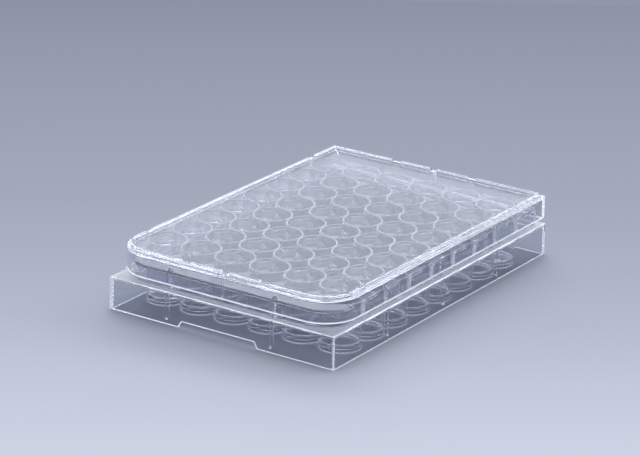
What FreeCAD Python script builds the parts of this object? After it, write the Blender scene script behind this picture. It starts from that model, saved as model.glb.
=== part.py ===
import FreeCAD, Part
import math
import os
import Sketcher

# A 48-well culture plate with its lid, both moulded in clear polystyrene.
# Millimetres. Origin at the middle of the footprint, +Z up, +X along the long side.
# The two -X corners are rounded so that the lid goes on one way round only.

doc = FreeCAD.newDocument("well_plate")

# ---------------------------------------------------------------- driving sizes
SIZES = [
    # the footprint and the skirt that stands on the bench
    ("foot_long", 127.76),
    ("foot_wide", 85.48),
    ("skirt_top", 11.0),
    ("skirt_draft", 0.9),
    ("wall", 1.1),
    # the upper wall and the deck that the wells hang from
    ("upper_long", 121.6),
    ("upper_wide", 80.0),
    ("upper_corner", 9.6),
    ("deck_top", 16.7),
    ("deck_thick", 1.1),
    # the wells
    ("pitch", 13.19),
    ("columns", 8),
    ("rows", 6),
    ("cup_foot_radius", 6.35),
    ("cup_deck_radius", 6.52),
    ("ring_radius", 6.68),
    ("ring_top", 19.7),
    ("bore_floor_radius", 5.75),
    ("bore_top_radius", 5.95),
    ("floor_top", 2.55),
    ("floor_under", 1.25),
    ("cup_foot", 0.25),
    ("recess_radius", 5.45),
    # the notch under the -X side and the webs inside the skirt
    ("notch_long", 30.2),
    ("notch_high", 2.1),
    ("notch_slope", 1.2),
    ("notch_shift", 0.85),
    ("web_thick", 1.0),
    ("web_deep", 1.3),
    ("web_foot", 0.9),
    ("web_foot_rise", 1.0),
    ("web_shift", 0.95),
    ("guide_high", 18.0),
    ("guide_out", 1.1),
    ("guide_in", 1.2),
    # the lid
    ("lid_long", 126.32),
    ("lid_wide", 84.72),
    ("lid_corner", 12.0),
    ("lid_wall", 1.1),
    ("lid_low", 12.8),
    ("lid_top", 20.75),
    ("lid_edge_round", 0.4),
    ("rim_inset", 1.3),
    ("rim_wide", 1.35),
    ("rim_high", 1.1),
    ("rim_gap", 2.4),
    ("rim_notch", 3.0),
    ("rim_notch_deep", 0.55),
    ("rim_notch_side", 15.0),
    ("rim_notch_front", 46.0),
    ("key_thick", 0.6),
    ("key_deep", 0.9),
    ("key_low", 13.4),
]

sheet = doc.addObject("Spreadsheet::Sheet", "sizes")
for line, (alias, value) in enumerate(SIZES, start=1):
    sheet.set("A%d" % line, alias)
    sheet.set("B%d" % line, str(value))
    sheet.setAlias("B%d" % line, alias)
doc.recompute()


# ---------------------------------------------------------------- drawing helpers
def plane(body, role):
    """One of the body's own origin planes or axes."""
    return [part for part in body.Origin.OriginFeatures if part.Role == role][0]


def new_sketch(body, name, role, lift=None, along=None):
    """A sketch on an origin plane; lift moves it off the plane and along moves it in the plane."""
    sketch = body.newObject("Sketcher::SketchObject", name)
    sketch.AttachmentSupport = [(plane(body, role), "")]
    sketch.MapMode = "FlatFace"
    if lift:
        sketch.setExpression("AttachmentOffset.Base.z", lift)
    if along:
        sketch.setExpression("AttachmentOffset.Base.x", along)
    doc.recompute()
    return sketch


def bind(sketch, constraint, name, expression):
    """Adds a dimension to a sketch and drives it from the sheet."""
    index = sketch.addConstraint(constraint)
    sketch.renameConstraint(index, name)
    sketch.setExpression("Constraints." + name, expression)


def point(x, y):
    return FreeCAD.Vector(x, y, 0)


def closed_outline(sketch, points):
    """Joins the points with lines, end to end, and returns the first line's number."""
    first = sketch.GeometryCount
    count = len(points)
    for here in range(count):
        sketch.addGeometry(Part.LineSegment(points[here], points[(here + 1) % count]))
    for here in range(count):
        follow = first + (here + 1) % count
        sketch.addConstraint(Sketcher.Constraint("Coincident", first + here, 2, follow, 1))
    return first


def rectangle(sketch, tag, half_long, half_wide, centre_x="0", centre_y="0"):
    """A rectangle given by its half sizes and its centre, all as expressions."""
    first = closed_outline(sketch, [point(-1, -1), point(1, -1), point(1, 1), point(-1, 1)])
    for side in (0, 2):
        sketch.addConstraint(Sketcher.Constraint("Horizontal", first + side))
    for side in (1, 3):
        sketch.addConstraint(Sketcher.Constraint("Vertical", first + side))
    corner = {"right": (first + 1, 1, "X", "(%s) + (%s)" % (centre_x, half_long)),
              "left": (first + 3, 1, "X", "(%s) - (%s)" % (centre_x, half_long)),
              "low": (first, 1, "Y", "(%s) - (%s)" % (centre_y, half_wide)),
              "high": (first + 2, 1, "Y", "(%s) + (%s)" % (centre_y, half_wide))}
    for side, (geometry, end, axis, expression) in corner.items():
        bind(sketch, Sketcher.Constraint("Distance" + axis, geometry, end, 1.0),
             "%s_%s" % (tag, side), expression)


def keyed_outline(sketch, tag, half_long, half_wide, corner):
    """A rectangle centred on the origin whose two -X corners are rounded, all as expressions."""
    start, turn = 2.0, 1.0
    quarter = math.pi / 2
    first = sketch.GeometryCount
    sketch.addGeometry(Part.LineSegment(point(turn - start, -start), point(start, -start)))
    sketch.addGeometry(Part.LineSegment(point(start, -start), point(start, start)))
    sketch.addGeometry(Part.LineSegment(point(start, start), point(turn - start, start)))
    sketch.addGeometry(Part.LineSegment(point(-start, start - turn), point(-start, turn - start)))
    for side, angle in ((1, quarter), (-1, 2 * quarter)):
        circle = Part.Circle(point(turn - start, side * (start - turn)), FreeCAD.Vector(0, 0, 1), turn)
        sketch.addGeometry(Part.ArcOfCircle(circle, angle, angle + quarter))
    bottom, right, top, left, arc_high, arc_low = range(first, first + 6)
    for line in (bottom, top):
        sketch.addConstraint(Sketcher.Constraint("Horizontal", line))
    for line in (right, left):
        sketch.addConstraint(Sketcher.Constraint("Vertical", line))
    sketch.addConstraint(Sketcher.Constraint("Coincident", bottom, 2, right, 1))
    sketch.addConstraint(Sketcher.Constraint("Coincident", right, 2, top, 1))
    for one, its_end, other, other_end in ((top, 2, arc_high, 1), (arc_high, 2, left, 1),
                                           (left, 2, arc_low, 1), (arc_low, 2, bottom, 1)):
        sketch.addConstraint(Sketcher.Constraint("Tangent", one, its_end, other, other_end))
    sketch.addConstraint(Sketcher.Constraint("Equal", arc_high, arc_low))
    bind(sketch, Sketcher.Constraint("Radius", arc_high, turn), tag + "_corner", corner)
    for name, geometry, axis, expression in (
            ("right", right, "X", half_long), ("left", left, "X", "-(%s)" % half_long),
            ("low", right, "Y", "-(%s)" % half_wide), ("high", top, "Y", half_wide)):
        bind(sketch, Sketcher.Constraint("Distance" + axis, geometry, 1, start),
             "%s_%s" % (tag, name), expression)


def profile(sketch, tag, corners):
    """A closed outline whose corners are (x, y) pairs of expressions."""
    count = len(corners)
    start = [point(10 * math.cos(2 * math.pi * i / count), 10 * math.sin(2 * math.pi * i / count))
             for i in range(count)]
    first = closed_outline(sketch, start)
    for i, (across, up) in enumerate(corners):
        for axis, expression in (("X", across), ("Y", up)):
            bind(sketch, Sketcher.Constraint("Distance" + axis, first + i, 1, 1.0),
                 "%s_%s%d" % (tag, axis.lower(), i), expression)


def pad(body, name, sketch, length, **settings):
    """A straight pad whose length is an expression."""
    feature = body.newObject("PartDesign::Pad", name)
    feature.Profile = sketch
    feature.setExpression("Length", length)
    for key, value in settings.items():
        setattr(feature, key, value)
    doc.recompute()
    return feature


def cut(body, name, kind, sketch, settings, expressions):
    """A pocket or groove, which has to take something away from the body."""
    before = body.Shape.Volume
    feature = body.newObject("PartDesign::" + kind, name)
    feature.Profile = sketch
    for key, value in settings.items():
        setattr(feature, key, value)
    for key, value in expressions.items():
        feature.setExpression(key, value)
    doc.recompute()
    if body.Shape.Volume > before - 0.01:
        raise RuntimeError(name + " takes nothing away")
    return feature


def round_edges(body, name, height, radius):
    """Rounds every edge of the body that lies at one height; both are names of sizes."""
    level = sheet.get(height)
    edges = ["Edge%d" % number for number, edge in enumerate(body.Shape.Edges, start=1)
             if abs(edge.BoundBox.ZMin - level) < 0.001 and abs(edge.BoundBox.ZMax - level) < 0.001]
    tip, before = body.Tip, body.Shape.Volume
    feature = body.newObject("PartDesign::Fillet", name)
    feature.Base = (tip, edges)
    feature.setExpression("Radius", "sizes." + radius)
    doc.recompute()
    if body.Shape.Volume > before - 0.01:
        raise RuntimeError(name + " rounds nothing")


def mirror_step(body, name, role):
    """A mirror in one of the body's own planes, to be used in a repeat."""
    step = body.newObject("PartDesign::Mirrored", name)
    step.MirrorPlane = (plane(body, role), [""])
    return step


def row_step(body, name, role, count, length):
    """A row along one of the body's own axes, to be used in a repeat."""
    step = body.newObject("PartDesign::LinearPattern", name)
    step.Direction = (plane(body, role), [""])
    step.setExpression("Occurrences", count)
    step.setExpression("Length", length)
    return step


def repeat(body, name, feature, steps):
    """Repeats one feature by each of the steps in turn; the body's volume has to change."""
    before = body.Shape.Volume
    pattern = body.newObject("PartDesign::MultiTransform", name)
    pattern.Originals = [feature]
    pattern.Transformations = steps
    body.Tip = pattern
    doc.recompute()
    if abs(body.Shape.Volume - before) < 0.01:
        raise RuntimeError(name + " changes nothing")
    return pattern


def turned(body, name, kind, sketch):
    """A full turn about the sketch's upright axis: a Revolution adds, a Groove takes away."""
    before = body.Shape.Volume
    feature = body.newObject("PartDesign::" + kind, name)
    feature.Profile = sketch
    feature.ReferenceAxis = (sketch, ["V_Axis"])
    feature.Angle = 360
    doc.recompute()
    grown = body.Shape.Volume - before
    if (grown < 0.01) if kind == "Revolution" else (grown > -0.01):
        raise RuntimeError(name + " does not change the body as it should")
    return feature


def well_grid(name):
    """The steps that repeat the first well over the whole plate."""
    return [row_step(plate, name + "_along", "X_Axis", "sizes.columns", "(sizes.columns - 1) * sizes.pitch"),
            row_step(plate, name + "_across", "Y_Axis", "sizes.rows", "(sizes.rows - 1) * sizes.pitch")]


# ---------------------------------------------------------------- the plate
plate = doc.addObject("PartDesign::Body", "well_plate_body")
plate.Label = "well_plate"

# the skirt and the upper wall start as solid blocks
skirt_sketch = new_sketch(plate, "skirt_outline", "XY_Plane")
rectangle(skirt_sketch, "foot", "sizes.foot_long / 2", "sizes.foot_wide / 2")
skirt = pad(plate, "skirt", skirt_sketch, "sizes.skirt_top")
skirt.setExpression("TaperAngle", "-sizes.skirt_draft")
doc.recompute()

upper_sketch = new_sketch(plate, "upper_outline", "XY_Plane")
keyed_outline(upper_sketch, "upper", "sizes.upper_long / 2", "sizes.upper_wide / 2", "sizes.upper_corner")
pad(plate, "upper_block", upper_sketch, "sizes.deck_top")

# both are hollowed from below, which leaves the skirt, the ledge, the upper wall and the deck
hollow_sketch = new_sketch(plate, "skirt_hollow_outline", "XY_Plane")
rectangle(hollow_sketch, "hollow", "sizes.foot_long / 2 - sizes.wall", "sizes.foot_wide / 2 - sizes.wall")
cut(plate, "skirt_hollow", "Pocket", hollow_sketch, {"Reversed": True},
    {"Length": "sizes.skirt_top - sizes.wall", "TaperAngle": "-sizes.skirt_draft"})

deck_sketch = new_sketch(plate, "deck_hollow_outline", "XY_Plane")
keyed_outline(deck_sketch, "deck", "sizes.upper_long / 2 - sizes.wall",
              "sizes.upper_wide / 2 - sizes.wall", "sizes.upper_corner - sizes.wall")
cut(plate, "deck_hollow", "Pocket", deck_sketch, {"Reversed": True},
    {"Length": "sizes.deck_top - sizes.deck_thick"})

# the notch that a finger or a gripper finds under the -X side, with sloping ends
notch_sketch = new_sketch(plate, "notch_outline", "YZ_Plane")
NOTCH_FOOT = "(sizes.notch_long / 2 + sizes.notch_slope / sizes.notch_high)"
NOTCH_ROOF = "(sizes.notch_long / 2 - sizes.notch_slope)"
profile(notch_sketch, "notch", [
    ("sizes.notch_shift - " + NOTCH_FOOT, "-1"),
    ("sizes.notch_shift + " + NOTCH_FOOT, "-1"),
    ("sizes.notch_shift + " + NOTCH_ROOF, "sizes.notch_high"),
    ("sizes.notch_shift - " + NOTCH_ROOF, "sizes.notch_high")])
cut(plate, "notch", "Pocket", notch_sketch, {"Reversed": False}, {"Length": "sizes.foot_long"})

# ribs that stiffen the skirt inside, and ribs outside the upper wall that centre the lid
FIRST_COLUMN = "(sizes.columns - 1) / 2 * sizes.pitch"
FIRST_ROW = "(sizes.rows - 1) / 2 * sizes.pitch"


def rib(body, name, role, wall_place, upper_place, offset):
    """A rib on one side of the plate, both inside the skirt and outside the upper wall.

    wall_place and upper_place are the half sizes of the skirt and the upper wall on that side.
    """
    sketch = new_sketch(body, name + "_outline", role, offset)
    profile(sketch, name, [
        ("-(%s) + sizes.wall / 2" % wall_place, "sizes.web_foot"),
        ("-(%s) + sizes.wall + sizes.web_deep" % wall_place, "sizes.web_foot + sizes.web_foot_rise"),
        ("-(%s) + sizes.wall + sizes.web_deep" % wall_place, "sizes.skirt_top - sizes.wall / 2"),
        ("-(%s) + sizes.guide_in" % upper_place, "sizes.skirt_top - sizes.wall / 2"),
        ("-(%s) + sizes.guide_in" % upper_place, "sizes.deck_top"),
        ("-(%s)" % upper_place, "sizes.guide_high"),
        ("-(%s) - sizes.guide_out" % upper_place, "sizes.deck_top"),
        ("-(%s) - sizes.guide_out" % upper_place, "sizes.skirt_top - sizes.wall / 2"),
        ("-(%s) + sizes.wall / 2" % wall_place, "sizes.skirt_top - sizes.wall / 2")])
    return pad(body, name, sketch, "sizes.web_thick", Midplane=True)


side_rib = rib(plate, "side_rib", "XZ_Plane", "sizes.foot_long / 2", "sizes.upper_long / 2",
               "1.5 * sizes.pitch - sizes.web_shift")
repeat(plate, "side_ribs", side_rib, [
    row_step(plate, "side_ribs_row", "Y_Axis", "2", "3 * sizes.pitch"),
    mirror_step(plate, "side_ribs_other_side", "YZ_Plane")])

front_rib = rib(plate, "front_rib", "YZ_Plane", "sizes.foot_wide / 2", "sizes.upper_wide / 2",
                "-2.5 * sizes.pitch")
repeat(plate, "front_ribs", front_rib, [
    row_step(plate, "front_ribs_row", "X_Axis", "3", "5 * sizes.pitch"),
    mirror_step(plate, "front_ribs_other_side", "XZ_Plane")])

# the first well's outer wall: a slightly tapered cup that stands clear of the bench on a foot
# ring, and above the deck a raised ring that just runs into its neighbours
cup_sketch = new_sketch(plate, "cup_outline", "XZ_Plane", FIRST_ROW, "-" + FIRST_COLUMN)
profile(cup_sketch, "cup", [
    ("0", "sizes.floor_under"),
    ("sizes.recess_radius", "sizes.floor_under"),
    ("sizes.recess_radius", "sizes.cup_foot"),
    ("sizes.cup_foot_radius", "sizes.cup_foot"),
    ("sizes.cup_deck_radius", "sizes.deck_top - sizes.deck_thick / 2"),
    ("sizes.ring_radius", "sizes.deck_top - sizes.deck_thick / 2"),
    ("sizes.ring_radius", "sizes.ring_top"),
    ("0", "sizes.ring_top")])
cup = turned(plate, "cup", "Revolution", cup_sketch)
repeat(plate, "cups", cup, well_grid("cups"))

# and its hollow, open at the top
bore_sketch = new_sketch(plate, "bore_outline", "XZ_Plane", FIRST_ROW, "-" + FIRST_COLUMN)
profile(bore_sketch, "bore", [
    ("0", "sizes.floor_top"),
    ("sizes.bore_floor_radius", "sizes.floor_top"),
    ("sizes.bore_top_radius", "sizes.ring_top"),
    ("0", "sizes.ring_top")])
bore = turned(plate, "bore", "Groove", bore_sketch)
repeat(plate, "bores", bore, well_grid("bores"))

# ---------------------------------------------------------------- the lid
lid = doc.addObject("PartDesign::Body", "lid_body")
lid.Label = "lid"

# a tray turned upside down: the panel rests on the rings of the wells
shell_sketch = new_sketch(lid, "shell_outline", "XY_Plane", "sizes.lid_low")
keyed_outline(shell_sketch, "shell", "sizes.lid_long / 2", "sizes.lid_wide / 2", "sizes.lid_corner")
pad(lid, "shell", shell_sketch, "sizes.lid_top - sizes.lid_low")
round_edges(lid, "shell_edge", "lid_top", "lid_edge_round")

inside_sketch = new_sketch(lid, "inside_outline", "XY_Plane", "sizes.lid_low")
keyed_outline(inside_sketch, "inside", "sizes.lid_long / 2 - sizes.lid_wall",
              "sizes.lid_wide / 2 - sizes.lid_wall", "sizes.lid_corner - sizes.lid_wall")
cut(lid, "inside", "Pocket", inside_sketch, {"Reversed": True}, {"Length": "sizes.ring_top - sizes.lid_low"})

# the raised rim that keeps the next plate of a stack in place
rim_sketch = new_sketch(lid, "rim_outline", "XY_Plane", "sizes.lid_top - sizes.lid_wall / 2")
keyed_outline(rim_sketch, "rim_out", "sizes.lid_long / 2 - sizes.rim_inset",
              "sizes.lid_wide / 2 - sizes.rim_inset", "sizes.lid_corner - sizes.rim_inset")
keyed_outline(rim_sketch, "rim_in", "sizes.lid_long / 2 - sizes.rim_inset - sizes.rim_wide",
              "sizes.lid_wide / 2 - sizes.rim_inset - sizes.rim_wide",
              "sizes.lid_corner - sizes.rim_inset - sizes.rim_wide")
pad(lid, "rim", rim_sketch, "sizes.rim_high + sizes.lid_wall / 2")

# it is open at the middle of each end, to let water off, and dips where the mould feeds it
gap_sketch = new_sketch(lid, "gap_outline", "XY_Plane", "sizes.lid_top")
rectangle(gap_sketch, "gap", "sizes.lid_long / 2", "sizes.rim_gap / 2")
cut(lid, "gap", "Pocket", gap_sketch, {"Reversed": True}, {"Length": "sizes.rim_high"})

SIGNS = {"plus": "", "minus": "-"}
side_dips = new_sketch(lid, "side_dip_outline", "XY_Plane", "sizes.lid_top + sizes.rim_high")
long_dips = new_sketch(lid, "long_dip_outline", "XY_Plane", "sizes.lid_top + sizes.rim_high")
for word, sign in SIGNS.items():
    rectangle(side_dips, "side_" + word, "sizes.lid_long / 2", "sizes.rim_notch / 2",
              "0", sign + "sizes.rim_notch_side")
    rectangle(long_dips, "long_" + word, "sizes.rim_notch / 2", "sizes.lid_wide / 2",
              sign + "sizes.rim_notch_front", "0")
for name, sketch in (("side_dips", side_dips), ("long_dips", long_dips)):
    cut(lid, name, "Pocket", sketch, {"Reversed": False}, {"Length": "sizes.rim_notch_deep"})

# short upright ribs inside the wall that keep the lid central on the plate
KEY_REACH = "((sizes.lid_wall / 2 + sizes.key_deep) / 2)"
KEY_PLACE = "(sizes.lid_%s / 2 - sizes.lid_wall / 2 - " + KEY_REACH + ")"
key_sketch = new_sketch(lid, "key_outline", "XY_Plane", "sizes.key_low")
for word, sign in SIGNS.items():
    rectangle(key_sketch, "side_key_" + word, KEY_REACH, "sizes.key_thick / 2",
              sign + KEY_PLACE % "long", "0")
    for end_word, end_sign in SIGNS.items():
        rectangle(key_sketch, "long_key_%s_%s" % (word, end_word), "sizes.key_thick / 2", KEY_REACH,
                  end_sign + "2 * sizes.pitch", sign + KEY_PLACE % "wide")
pad(lid, "keys", key_sketch, "sizes.ring_top + sizes.lid_wall / 2 - sizes.key_low")

# ---------------------------------------------------------------- checks and files
doc.recompute()
for item in doc.Objects:
    if "Invalid" in item.State or "Error" in item.State:
        raise RuntimeError("%s failed: %s" % (item.Name, item.State))
os.makedirs("parts", exist_ok=True)
for body in (plate, lid):
    if body.Shape.isNull() or not body.Shape.isValid() or len(body.Shape.Solids) != 1:
        raise RuntimeError(body.Label + " is not one sound solid")
    body.Shape.exportStep("parts/%s.step" % body.Label)
    print(body.Label, "%.1f mm3" % body.Shape.Volume)
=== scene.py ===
import math

import bmesh
import bpy
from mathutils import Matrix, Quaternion, Vector


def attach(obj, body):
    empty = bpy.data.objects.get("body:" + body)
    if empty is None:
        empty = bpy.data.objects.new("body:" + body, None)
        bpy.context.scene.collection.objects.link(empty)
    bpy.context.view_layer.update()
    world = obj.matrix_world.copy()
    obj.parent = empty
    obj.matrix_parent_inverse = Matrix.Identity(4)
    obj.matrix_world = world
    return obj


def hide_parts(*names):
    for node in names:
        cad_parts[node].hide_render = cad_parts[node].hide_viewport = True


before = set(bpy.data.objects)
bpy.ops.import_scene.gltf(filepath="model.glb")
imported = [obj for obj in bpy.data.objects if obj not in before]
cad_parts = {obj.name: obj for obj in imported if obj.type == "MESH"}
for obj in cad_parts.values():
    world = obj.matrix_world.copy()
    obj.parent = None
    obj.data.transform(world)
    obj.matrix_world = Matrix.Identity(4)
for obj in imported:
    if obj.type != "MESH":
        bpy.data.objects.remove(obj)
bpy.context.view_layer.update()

# ================================================================ the well plate
# One shot of clear polystyrene: a skirt that stands on the bench, a ledge, an upper wall with a
# flat deck, and 48 wells that hang from the deck and end above it in raised rings. Everything is
# drafted a little so that it leaves the steel mould, and no edge is sharper than the cutter left it.

MM = 0.001
PITCH = 13.19
COLUMNS = 8
ROWS = 6
WALL = 1.1
FOOT_HALF = (63.88, 42.74)
FOOT_CORNER = 0.15
SKIRT_TOP = 11.0
SKIRT_DRAFT = 0.17
UPPER_HALF = (60.8, 40.0)
UPPER_KEY_CORNER = 9.6
UPPER_CORNER = 0.35
UPPER_INSET = 3.0
UPPER_FROM = 2.1
DECK_TOP = 16.7
DECK_UNDER = 15.6
DECK_BORDER = 6.0
NOTCH_MIDDLE = 0.85
NOTCH_HALF = 15.1
NOTCH_SLOPE = 1.2
NOTCH_HIGH = 2.1
ARC_STEPS = 14
ROUND_STEPS = 3


def rounded(corners):
    """A line through (across, up, radius) corners, with each corner's radius drawn as a short arc."""
    line = []
    for i, (across, up, radius) in enumerate(corners):
        here = Vector((across, up))
        if radius == 0 or i in (0, len(corners) - 1):
            line.append(here)
            continue
        back = (Vector(corners[i - 1][:2]) - here).normalized()
        ahead = (Vector(corners[i + 1][:2]) - here).normalized()
        half = back.angle(ahead) / 2
        reach = radius / math.tan(half)
        centre = here + (back + ahead).normalized() * (radius / math.sin(half))
        start, end = here + back * reach - centre, here + ahead * reach - centre
        for step in range(ROUND_STEPS + 1):
            share = step / ROUND_STEPS
            line.append(centre + start.normalized().slerp(end.normalized(), share) * radius)
    return line


def keyed_loop(half, key_corner, corner, stops):
    """One closed outline seen from above, in mm: the two -X corners have their own radius.

    stops holds, for each side in turn, the places along it that need a point of their own.
    """
    across, deep = half
    loop = []
    for side, (x_sign, y_sign) in enumerate(((1, -1), (1, 1), (-1, 1), (-1, -1))):
        radius = corner if x_sign > 0 else key_corner
        centre = Vector((x_sign * (across - radius), y_sign * (deep - radius)))
        for step in range(ARC_STEPS + 1):
            angle = (side - 1 + step / ARC_STEPS) * math.pi / 2
            loop.append(centre + radius * Vector((math.cos(angle), math.sin(angle))))
        for stop in stops[side]:
            loop.append(Vector(((across, stop), (stop, deep), (-across, stop), (stop, -deep))[side]))
    return loop


def linked(name, data):
    """An object for a mesh, a lamp or a lens, put in the scene."""
    item = bpy.data.objects.new(name, data)
    bpy.context.scene.collection.objects.link(item)
    return item


def sound_object(name, points, faces):
    """An object whose faces all look outwards."""
    data = bpy.data.meshes.new(name)
    data.from_pydata(points, [], faces)
    mesh = bmesh.new()
    mesh.from_mesh(data)
    bmesh.ops.recalc_face_normals(mesh, faces=mesh.faces)
    mesh.to_mesh(data)
    mesh.free()
    return linked(name, data)


def swept(name, loops):
    """A closed skin through loops of (x, y, z) points in mm; the first and last loops are filled."""
    count = len(loops[0])
    points = [tuple(c * MM for c in point) for loop in loops for point in loop]
    faces = [list(range(count)), list(range((len(loops) - 1) * count, len(loops) * count))]
    for row in range(len(loops) - 1):
        for i in range(count):
            follow = (i + 1) % count
            low, high = row * count, (row + 1) * count
            faces.append([low + i, low + follow, high + follow, high + i])
    return sound_object(name, points, faces)


def plate_loop(inset, height):
    """The plate's outline at one point of its section; from UPPER_FROM inwards it is the upper wall's."""
    if inset < UPPER_FROM:
        half = [size - inset for size in FOOT_HALF]
        flat = keyed_loop(half, FOOT_CORNER, FOOT_CORNER, plate_stops)
    else:
        inner = inset - UPPER_INSET
        half = [size - inner for size in UPPER_HALF]
        flat = keyed_loop(half, UPPER_KEY_CORNER - inner, UPPER_CORNER, plate_stops)
    loop = []
    for x, y in flat:
        lift = 0
        if height < NOTCH_HIGH and x < -FOOT_HALF[0] + 2 * WALL:
            lift = NOTCH_HIGH * min(max((NOTCH_HALF - abs(y - NOTCH_MIDDLE)) / NOTCH_SLOPE, 0), 1)
        loop.append((x, y, height + lift))
    return loop


notch_stops = [NOTCH_MIDDLE + place for place in (
    NOTCH_HALF, NOTCH_HALF - NOTCH_SLOPE, NOTCH_SLOPE - NOTCH_HALF, -NOTCH_HALF)]
plate_stops = [[], [], notch_stops, []]

# (inset, height, rounding) from the deck down the outside, round the foot and up the inside
plate_section = rounded([
    (UPPER_INSET + DECK_BORDER, DECK_TOP, 0),
    (UPPER_INSET, DECK_TOP, 0.3),
    (UPPER_INSET, SKIRT_TOP, 0.3),
    (SKIRT_DRAFT, SKIRT_TOP, 0.45),
    (0, 0, 0.1),
    (WALL, 0, 0.1),
    (WALL + SKIRT_DRAFT, SKIRT_TOP - WALL, 0.3),
    (UPPER_INSET + WALL, SKIRT_TOP - WALL, 0.3),
    (UPPER_INSET + WALL, DECK_UNDER, 0.3),
    (UPPER_INSET + DECK_BORDER, DECK_UNDER, 0)])
plate = swept("well_plate_moulding", [plate_loop(*point) for point in plate_section])

# the ribs: webs inside the skirt that reach in under the ledge, and guides outside the upper wall that
# steer the lid; two on each short side and three on each long side, placed in pitches from the middle
RIB_THICK = 1.0
RIB_SOFT = 0.12
WEB_DEEP = 1.3
WEB_LOW = 0.9
WEB_SLOPE = 1.0
WEB_SHIFT = 0.95
GUIDE_IN = 1.2
GUIDE_OUT = 1.1
GUIDE_HIGH = 18.0
SHORT_SIDE_PLACES = (1.5, -1.5)
LONG_SIDE_PLACES = (-2.5, 0, 2.5)


def prisms(name, shapes, bevel):
    """Flat plates with softened edges, each from its corner points in mm and its thickness vector."""
    mesh = bmesh.new()
    for corners, thickness in shapes:
        base = [mesh.verts.new(Vector(c) * MM - Vector(thickness) * MM / 2) for c in corners]
        far = [mesh.verts.new(Vector(c) * MM + Vector(thickness) * MM / 2) for c in corners]
        mesh.faces.new(base)
        mesh.faces.new(far)
        for i in range(len(corners)):
            follow = (i + 1) % len(corners)
            mesh.faces.new((base[i], base[follow], far[follow], far[i]))
    bmesh.ops.recalc_face_normals(mesh, faces=mesh.faces)
    bmesh.ops.bevel(mesh, geom=mesh.edges, offset=bevel * MM, segments=2, profile=0.5, affect="EDGES")
    data = bpy.data.meshes.new(name)
    mesh.to_mesh(data)
    mesh.free()
    return linked(name, data)


def combine(item, other, operation):
    """Adds the other solid to the item, or takes it away, and leaves one closed mesh."""
    modifier = item.modifiers.new("combine", "BOOLEAN")
    modifier.operation = operation
    modifier.solver = "MANIFOLD"
    modifier.object = other
    shape = item.evaluated_get(bpy.context.evaluated_depsgraph_get())
    data = bpy.data.meshes.new_from_object(shape)
    item.modifiers.clear()
    item.data = data
    bpy.data.objects.remove(other)


def rib(along, outward, foot, upper):
    """One rib: its place along the side, the side's direction, and half sizes of foot and upper wall."""
    in_skirt, web = foot - WALL / 2, foot - WALL - WEB_DEEP
    in_wall, guide = upper - GUIDE_IN, upper + GUIDE_OUT
    joint = SKIRT_TOP - WALL / 2
    section = [
        (in_skirt, WEB_LOW), (web, WEB_LOW + WEB_SLOPE), (web, joint),
        (in_wall, joint), (in_wall, DECK_TOP - 0.1),
        (upper, GUIDE_HIGH), (guide, DECK_TOP), (guide, joint), (in_skirt, joint)]
    if outward[0]:
        return [(outward[0] * out, along, up) for out, up in section], (0, RIB_THICK, 0)
    return [(along, outward[1] * out, up) for out, up in section], (RIB_THICK, 0, 0)


ribs = [rib(WEB_SHIFT + place * PITCH, (end, 0), FOOT_HALF[0], UPPER_HALF[0])
        for place in SHORT_SIDE_PLACES for end in (1, -1)]
ribs += [rib(place * PITCH, (0, end), FOOT_HALF[1], UPPER_HALF[1])
         for place in LONG_SIDE_PLACES for end in (1, -1)]
combine(plate, prisms("ribs", ribs, RIB_SOFT), "UNION")

# between the wells the deck is thicker than on its border
FIELD_UNDER = 14.6
FIELD_TOP = DECK_TOP - 0.5
FIELD_SOFT = 0.3
FIELD_MARGIN = 3.0

field_half = [(count - 1) / 2 * PITCH + FIELD_MARGIN for count in (COLUMNS, ROWS)]
field = [(x * field_half[0], y * field_half[1], (FIELD_UNDER + FIELD_TOP) / 2)
         for x, y in ((-1, -1), (1, -1), (1, 1), (-1, 1))]
combine(plate, prisms("deck_field", [(field, (0, 0, FIELD_TOP - FIELD_UNDER))], FIELD_SOFT), "UNION")

# the wells: cups with a shallow recess under the floor, added in two sets because the rings of
# neighbours run into each other, and then their bores; both lines are (radius, height, rounding)
RING_TOP = 19.7
RING_RADIUS = 6.68
RECESS_TOP = 1.25
CUP_FOOT = 0.25
BORE_FLOOR = 2.55
TURN_STEPS = 48

cup = rounded([
    (0, RECESS_TOP, 0), (5.45, RECESS_TOP, 0.25), (5.5, CUP_FOOT, 0.2), (6.35, CUP_FOOT, 0.35),
    (6.52, 15.4, 0), (RING_RADIUS, 15.5, 0), (RING_RADIUS, RING_TOP, 0.15), (0, RING_TOP, 0)])
bore = rounded([
    (0, BORE_FLOOR, 0), (5.75, BORE_FLOOR, 0.5), (5.95, RING_TOP - 0.2, 0),
    (6.1, RING_TOP + 0.02, 0), (6.1, RING_TOP + 0.7, 0), (0, RING_TOP + 0.7, 0)])
wells = [((column - (COLUMNS - 1) / 2) * PITCH, ((ROWS - 1) / 2 - row) * PITCH, (column + row) % 2)
         for row in range(ROWS) for column in range(COLUMNS)]


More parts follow.
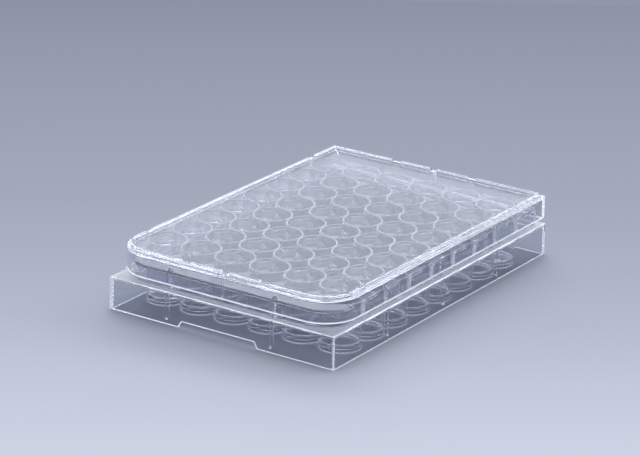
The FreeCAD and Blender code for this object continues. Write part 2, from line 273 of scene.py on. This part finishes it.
def turned(name, line, centres):
    """Solids of revolution from one (radius, height) line in mm, which starts and ends on the axis."""
    points, faces = [], []
    for centre_x, centre_y in centres:
        first = len(points)
        points.append((centre_x * MM, centre_y * MM, line[0][1] * MM))
        for radius, height in line[1:-1]:
            for step in range(TURN_STEPS):
                angle = 2 * math.pi * step / TURN_STEPS
                points.append(((centre_x + radius * math.cos(angle)) * MM,
                               (centre_y + radius * math.sin(angle)) * MM, height * MM))
        points.append((centre_x * MM, centre_y * MM, line[-1][1] * MM))
        last = len(points) - 1
        rings = len(line) - 2
        for step in range(TURN_STEPS):
            follow = (step + 1) % TURN_STEPS
            faces.append([first, first + 1 + follow, first + 1 + step])
            top = first + 1 + (rings - 1) * TURN_STEPS
            faces.append([last, top + step, top + follow])
            for ring in range(rings - 1):
                low = first + 1 + ring * TURN_STEPS
                high = low + TURN_STEPS
                faces.append([low + step, low + follow, high + follow, high + step])
    return sound_object(name, points, faces)


for chosen in (0, 1):
    combine(plate, turned("cups", cup, [(x, y) for x, y, parity in wells if parity == chosen]), "UNION")
combine(plate, turned("bores", bore, [(x, y) for x, y, parity in wells]), "DIFFERENCE")

SLIVER = 0.0002
CREASE = 35


def polished(item):
    """Takes away slivers that the cuts left, and shades rounds smooth and flats flat, as a mould does."""
    mesh = bmesh.new()
    mesh.from_mesh(item.data)
    bmesh.ops.remove_doubles(mesh, verts=mesh.verts, dist=SLIVER * MM)
    bmesh.ops.dissolve_degenerate(mesh, edges=mesh.edges, dist=SLIVER * MM)
    mesh.to_mesh(item.data)
    mesh.free()
    item.data.shade_smooth()
    item.data.set_sharp_from_angle(angle=math.radians(CREASE))
    weights = item.modifiers.new("flat faces", "WEIGHTED_NORMAL")
    weights.keep_sharp = True


polished(plate)


# ---- clear polystyrene, moulded
# Water-clear and glossy. It bends light more than glass does, so each edge and each thick corner
# shows as a white or a dark line, and the flow of the melt leaves the faces very slightly uneven.
# The whitest edges and the lid's lip are helped by a painted glow.

def hex_colour(text):
    """An sRGB hex colour as linear red, green, blue and alpha."""
    def linear(value):
        return value / 12.92 if value <= 0.04045 else ((value + 0.055) / 1.055) ** 2.4
    return [linear(int(text[i:i + 2], 16) / 255) for i in (0, 2, 4)] + [1.0]


def add_node(tree, kind, inputs=None, links=None, **settings):
    """A node with its settings, its input values and the sockets that feed its inputs."""
    node = tree.nodes.new(kind)
    for name, value in settings.items():
        setattr(node, name, value)
    for socket, value in (inputs or {}).items():
        node.inputs[socket].default_value = value
    for socket, source in (links or {}).items():
        tree.links.new(source, node.inputs[socket])
    return node


def new_material(name):
    """An empty node material and its tree."""
    material = bpy.data.materials.new(name)
    material.use_nodes = True
    material.node_tree.nodes.clear()
    return material, material.node_tree


POLYSTYRENE_IOR = 1.59
PLASTIC = hex_colour("EEF0F4")
# the colour of the painted glow that some edges give out though they are no lamp
PAINTED_GLOW_COLOUR = hex_colour("F4F6FF")
# what a lamp's light keeps at each face that it goes through, face on and edge on
FACE_SHADE = hex_colour("EEEFF1")
EDGE_SHADE = hex_colour("BABBC3")
# ripples of the melt's flow, and patches of the mould's polish, in mm
FLOW_SIZE = 9.0
FLOW_DEEP = 0.02
POLISH_SIZE = 25.0


def clear_polystyrene(name, dullest=0.03, finest=0.0, see_in=1.0, glow=0.0):
    """Clear plastic. Its roughness wanders between finest and dullest, see_in is the share of light
    that goes in and not back, and glow is a painted glow: light given out though it is no lamp."""
    material, tree = new_material(name)
    place = add_node(tree, "ShaderNodeTexCoord")
    flow = add_node(tree, "ShaderNodeTexNoise",
                    {"Scale": 1 / (FLOW_SIZE * MM), "Detail": 1.0, "Roughness": 0.4},
                    {"Vector": place.outputs["Object"]})
    ripple = add_node(tree, "ShaderNodeBump", {"Strength": 0.04, "Distance": FLOW_DEEP * MM},
                      {"Height": flow.outputs["Fac"]})
    patches = add_node(tree, "ShaderNodeTexNoise", {"Scale": 1 / (POLISH_SIZE * MM), "Detail": 3.0},
                       {"Vector": place.outputs["Object"]})
    polish = add_node(tree, "ShaderNodeMapRange", {"To Min": finest, "To Max": dullest},
                      {"Value": patches.outputs["Fac"]})
    # the emission is a painted glow; it is off unless glow is set
    plastic = add_node(tree, "ShaderNodeBsdfPrincipled",
                       {"Base Color": PLASTIC, "IOR": POLYSTYRENE_IOR, "Transmission Weight": see_in,
                        "Emission Color": PAINTED_GLOW_COLOUR, "Emission Strength": glow},
                       {"Roughness": polish.outputs["Result"], "Normal": ripple.outputs["Normal"]})
    facing = add_node(tree, "ShaderNodeLayerWeight", {"Blend": 0.3})
    shade = add_node(tree, "ShaderNodeMix", {"A": FACE_SHADE, "B": EDGE_SHADE},
                     {"Factor": facing.outputs["Facing"]}, data_type="RGBA")
    see_through = add_node(tree, "ShaderNodeBsdfTransparent", links={"Color": shade.outputs["Result"]})
    ray = add_node(tree, "ShaderNodeLightPath")
    choice = add_node(tree, "ShaderNodeMixShader", links={
        "Fac": ray.outputs["Is Shadow Ray"], 1: plastic.outputs["BSDF"], 2: see_through.outputs["BSDF"]})
    add_node(tree, "ShaderNodeOutputMaterial", links={"Surface": choice.outputs["Shader"]})
    return material


def painted_glow_edge(name):
    """A rougher, partly milky edge with a painted glow that shows it white, in place of light the walls
    carry to it.
    """
    return clear_polystyrene(name, dullest=0.1, finest=0.08, see_in=0.7, glow=0.45)


def textured_land_and_painted_highlight(name):
    """A spark-textured flat of the mould, which looks milky beside the polished walls. On the deck's -X
    strip the same milky face is a painted highlight, a white band that stands in for reflected light.
    """
    return clear_polystyrene(name, dullest=0.5, finest=0.4, see_in=0.5)


def give_material(item, number, is_part):
    """Gives the item's numbered material to the faces that is_part picks by centre in mm and normal."""
    for face in item.data.polygons:
        if is_part(face.center / MM, face.normal):
            face.material_index = number


def painted_glow_on_plate(centre, normal):
    """The skirt's foot and notch, its upright corners, the ledge's outer edge, the feet of the cups: the
    faces with the painted glow.
    """
    from_side = [half - abs(place) for half, place in zip(FOOT_HALF, centre)]
    in_skirt = min(from_side) < WALL + 0.5
    foot = in_skirt and centre.z < NOTCH_HIGH + 0.3 and normal.z < -0.2
    upright = max(from_side) < 0.3 and min(abs(normal.x), abs(normal.y)) > 0.3
    ledge_edge = in_skirt and SKIRT_TOP - 0.6 < centre.z < SKIRT_TOP - 0.01 and 0.2 < normal.z < 0.96
    cup_foot = centre.z < 0.45 and normal.z < -0.3
    return foot or upright or ledge_edge or cup_foot


def lands_and_painted_highlight_strip(centre, normal):
    """The rings' tops, the flat of the ledge, and the strip of the deck along the -X side, whose milky
    white is a painted highlight.
    """
    ring = centre.z > RING_TOP - 0.25 and normal.z > 0.2
    ledge = abs(centre.z - SKIRT_TOP) < 0.1 and normal.z > 0.97
    # on the -X side only, the deck's strip is made milky as a painted highlight band
    strip = centre.x < (1 - COLUMNS) / 2 * PITCH and abs(centre.z - DECK_TOP) < 0.35 and normal.z > 0.2
    return ring or ledge or strip


plate.data.materials.clear()
plate.data.materials.append(clear_polystyrene("clear polystyrene, moulded plate"))
# edges with a painted glow, so that they shine white
plate.data.materials.append(painted_glow_edge("edges of the plate with a painted glow"))
plate.data.materials.append(textured_land_and_painted_highlight("textured lands and painted highlight strip of the plate"))
give_material(plate, 1, painted_glow_on_plate)
give_material(plate, 2, lands_and_painted_highlight_strip)
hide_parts("well_plate")
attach(plate, "root")

# ================================================================ the lid
# A shallow tray of the same plastic, turned upside down over the plate. It only rests on the rings
# of the wells. A low rim on top keeps the next plate of a stack in place, open at the middle of
# each end and dipped in eight places, and six short ribs inside the wall keep the lid central.

LID_HALF = (63.16, 42.36)
LID_CORNER = 12.0
LID_SHARP_CORNER = 0.2
LID_WALL = 1.1
LID_LOW = 12.8
LID_TOP = 20.75
# the panel's underside stands a hair over the rings, so that the two plastics share no face
LID_UNDER = RING_TOP + 0.03
RIM_INSET = 1.3
RIM_WIDE = 1.35
RIM_HIGH = 1.1
RIM_DRAFT = 0.06
PANEL_BORDER = 9.0
GAP_HALF = 1.2
DIP_HALF = 1.5
DIP_DEEP = 0.55
SIDE_DIP = 15.0
LONG_DIP = 46.0
DIP_STEP = 0.15
RIM_REACH = 4.0


def dip_stops(dips):
    """The places along a side where a dip or gap in the rim starts, gets its depth, and ends again."""
    return [middle + offset for middle, half in dips
            for offset in (half + DIP_STEP, half, -half, -half - DIP_STEP)]


side_stops = dip_stops([(SIDE_DIP, DIP_HALF), (0, GAP_HALF), (-SIDE_DIP, DIP_HALF)])
long_stops = dip_stops([(LONG_DIP, DIP_HALF), (-LONG_DIP, DIP_HALF)])
lid_stops = [side_stops[::-1], long_stops, side_stops, long_stops[::-1]]


def rim_height(x, y):
    """How high the rim stands above the panel at a point of the lid's outline."""
    def open_share(place, middle, half):
        return min(max((half + DIP_STEP - abs(place - middle)) / DIP_STEP, 0), 1)
    high = RIM_HIGH
    if abs(x) > LID_HALF[0] - RIM_REACH and abs(y) < LID_HALF[1] - LID_CORNER:
        high -= RIM_HIGH * open_share(y, 0, GAP_HALF)
        high -= DIP_DEEP * open_share(abs(y), SIDE_DIP, DIP_HALF)
    elif abs(y) > LID_HALF[1] - RIM_REACH:
        high -= DIP_DEEP * open_share(abs(x), LONG_DIP, DIP_HALF)
    return high


def lid_loop(inset, height):
    """The lid's outline at one point of its section; what stands above the panel follows the rim."""
    half = [size - inset for size in LID_HALF]
    flat = keyed_loop(half, LID_CORNER - inset, LID_SHARP_CORNER, lid_stops)
    rise = max(height - LID_TOP, 0) / RIM_HIGH
    return [(x, y, min(height, LID_TOP) + rise * rim_height(x, y)) for x, y in flat]


# (inset, height, rounding) from the panel over the rim, down the outside and up the inside
lid_section = rounded([
    (PANEL_BORDER, LID_TOP, 0),
    (RIM_INSET + RIM_WIDE + RIM_DRAFT, LID_TOP, 0.12),
    (RIM_INSET + RIM_WIDE - RIM_DRAFT, LID_TOP + RIM_HIGH, 0.3),
    (RIM_INSET + RIM_DRAFT, LID_TOP + RIM_HIGH, 0.3),
    (RIM_INSET - RIM_DRAFT, LID_TOP, 0.12),
    (0, LID_TOP, 0.4),
    (0, LID_LOW, 0.4),
    (LID_WALL, LID_LOW, 0.4),
    (LID_WALL, LID_UNDER, 0.4),
    (PANEL_BORDER, LID_UNDER, 0)])
lid = swept("lid_moulding", [lid_loop(*point) for point in lid_section])

# the short ribs inside the wall: one in the middle of each end and two on each long side
KEY_LOW = 13.4
KEY_HIGH = 20.0
KEY_THICK = 0.6
KEY_SOFT = 0.1
KEY_INSETS = (0.5, 2.0)
KEY_PLACES = (-2 * PITCH, 2 * PITCH)

key_section = [(KEY_INSETS[0], KEY_LOW), (KEY_INSETS[1], KEY_LOW),
               (KEY_INSETS[1], KEY_HIGH), (KEY_INSETS[0], KEY_HIGH)]
keys = []
for sign in (1, -1):
    across = [(sign * (LID_HALF[0] - inset), 0, up) for inset, up in key_section]
    keys.append((across, (0, KEY_THICK, 0)))
    for place in KEY_PLACES:
        along = [(place, sign * (LID_HALF[1] - inset), up) for inset, up in key_section]
        keys.append((along, (KEY_THICK, 0, 0)))
combine(lid, prisms("keys", keys, KEY_SOFT), "UNION")
polished(lid)


def painted_glow_on_lid_lip(centre, normal):
    """The lip at the bottom of the wall, which gets the painted glow."""
    return centre.z < LID_LOW + 0.5 and normal.z < -0.1


lid.data.materials.clear()
lid.data.materials.append(clear_polystyrene("clear polystyrene, moulded lid"))
# the lip gets a painted glow, so that it shines white
lid.data.materials.append(painted_glow_edge("lip of the lid with a painted glow"))
give_material(lid, 1, painted_glow_on_lid_lip)
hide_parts("lid")
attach(lid, "root")

# ================================================================ the table top
# A smooth board under matt paint, grey-blue, which is not part of the object. Its colour is painted
# paler towards the front, a painted falloff of light across the table: each shade stands with its
# distance in mm towards the back. The paint's real tooth is too fine to show, so it is drawn 1.2 mm wide.

FLOOR_REACH = 4.0
AWAY = (0.835, 0.550)
# the painted falloff of light, paler towards the front
LIGHT_FALLOFF_SHADES = [(-139, "EEF3FB"), (-84, "E0E3EE"), (-36, "CED3DF"), (18, "C2C6D2"), (78, "B5BAC5"),
          (169, "A2A6B3"), (248, "979CA9"), (338, "9498A5")]
FIRST_SHADE, LAST_SHADE = -300, 500
TOOTH_SIZE = 1.2
TOOTH_DEEP = 0.02

data = bpy.data.meshes.new("table_top")
data.from_pydata([(x * FLOOR_REACH, y * FLOOR_REACH, 0) for x, y in ((-1, -1), (1, -1), (1, 1), (-1, 1))],
                 [], [(0, 1, 2, 3)])
table_top = linked("table_top", data)
material, tree = new_material("matt painted board")
place = add_node(tree, "ShaderNodeTexCoord")
away = add_node(tree, "ShaderNodeVectorMath", {1: (*AWAY, 0)}, {0: place.outputs["Object"]},
                operation="DOT_PRODUCT")
share = add_node(tree, "ShaderNodeMapRange", {"From Min": FIRST_SHADE * MM, "From Max": LAST_SHADE * MM},
                 {"Value": away.outputs["Value"]})
ramp = add_node(tree, "ShaderNodeValToRGB", links={"Fac": share.outputs["Result"]})
stops = ramp.color_ramp.elements
for i, (distance, shade) in enumerate(LIGHT_FALLOFF_SHADES):
    stop = stops[i] if i < 2 else stops.new(0.5)
    stop.position = (distance - FIRST_SHADE) / (LAST_SHADE - FIRST_SHADE)
    stop.color = hex_colour(shade)
grain = add_node(tree, "ShaderNodeTexNoise", {"Scale": 1 / (TOOTH_SIZE * MM), "Detail": 2.0},
                 {"Vector": place.outputs["Object"]})
tooth = add_node(tree, "ShaderNodeBump", {"Strength": 0.1, "Distance": TOOTH_DEEP * MM},
                 {"Height": grain.outputs["Fac"]})
board = add_node(tree, "ShaderNodeBsdfPrincipled", {"Roughness": 0.85, "Specular IOR Level": 0.1},
                 {"Base Color": ramp.outputs["Color"], "Normal": tooth.outputs["Normal"]})
add_node(tree, "ShaderNodeOutputMaterial", links={"Surface": board.outputs["BSDF"]})
table_top.data.materials.append(material)

# ================================================================ the light
# A hard strip behind draws the bright lines on the edges, a pale screen low down behind shows in
# the lid, a wide box overhead lights the table, and two weaker ones fill in. The room is dim, and
# its pale walls show in the gloss.

LAMP_TINT = hex_colour("F2F5FF")
ROOM_WALLS = hex_colour("E6EBFF")
ROOM_DIM = 0.04
ROOM_IN_GLOSS = 0.32


def soft_box(name, turn, lift, distance, size, brightness):
    """A soft box that looks at the plate; brightness is how bright its face is.

    turn is its angle in degrees from straight behind, counter-clockwise from above, and lift its
    angle above the table.
    """
    lamp = bpy.data.lights.new(name, "AREA")
    lamp.shape = "RECTANGLE"
    lamp.size, lamp.size_y = size
    lamp.energy = brightness * math.pi * size[0] * size[1]
    lamp.color = LAMP_TINT[:3]
    item = linked(name, lamp)
    turn, lift = math.radians(turn) + math.atan2(AWAY[1], AWAY[0]), math.radians(lift)
    towards = Vector((math.cos(turn) * math.cos(lift), math.sin(turn) * math.cos(lift), math.sin(lift)))
    item.location = towards * distance
    item.rotation_euler = towards.to_track_quat("Z", "Y").to_euler()
    item.visible_camera = False


soft_box("hard strip behind", 0, 38, 2.0, (1.8, 0.3), 8.0)
soft_box("low pale screen", 0, 16, 2.4, (2.6, 0.8), 0.85)
soft_box("wide box overhead", 0, 78, 2.0, (1.6, 1.6), 2.8)
soft_box("fill from the right", 300, 36, 2.0, (1.2, 0.6), 2.5)
soft_box("fill from the front", 180, 50, 2.0, (1.2, 0.6), 1.5)

world = bpy.data.worlds.new("room")
bpy.context.scene.world = world
world.use_nodes = True
world.node_tree.nodes.clear()
ray = add_node(world.node_tree, "ShaderNodeLightPath")
pale = add_node(world.node_tree, "ShaderNodeMapRange", {"To Min": ROOM_DIM, "To Max": ROOM_IN_GLOSS},
                {"Value": ray.outputs["Is Glossy Ray"]})
room = add_node(world.node_tree, "ShaderNodeBackground", {"Color": ROOM_WALLS},
                {"Strength": pale.outputs["Result"]})
add_node(world.node_tree, "ShaderNodeOutputWorld", links={"Surface": room.outputs["Background"]})

# ================================================================ the camera and the picture
# A long lens, a metre off and 20 degrees above the table, that looks over the plate's near corner.

CAMERA_AT = (-0.771673, -0.503375, 0.352505)
GAZE = Vector((0.78465, 0.51753, -0.34130))
ROLL = 1.386
LENS = 170.0
SENSOR = 36.0

lens = bpy.data.cameras.new("camera")
lens.sensor_width = SENSOR
lens.lens = LENS
lens.clip_start, lens.clip_end = 0.05, 30.0
camera = linked("camera", lens)
camera.location = CAMERA_AT
camera.rotation_mode = "QUATERNION"
camera.rotation_quaternion = GAZE.to_track_quat("-Z", "Y") @ Quaternion((0, 0, 1), math.radians(ROLL))

scene = bpy.context.scene
scene.camera = camera
scene.view_settings.view_transform = "Standard"
# light turns back inside the walls many times before it comes out
scene.cycles.max_bounces = 96
scene.cycles.transmission_bounces = 96
scene.cycles.glossy_bounces = 96
scene.cycles.transparent_max_bounces = 32
scene.cycles.caustics_reflective = False
scene.cycles.caustics_refractive = False
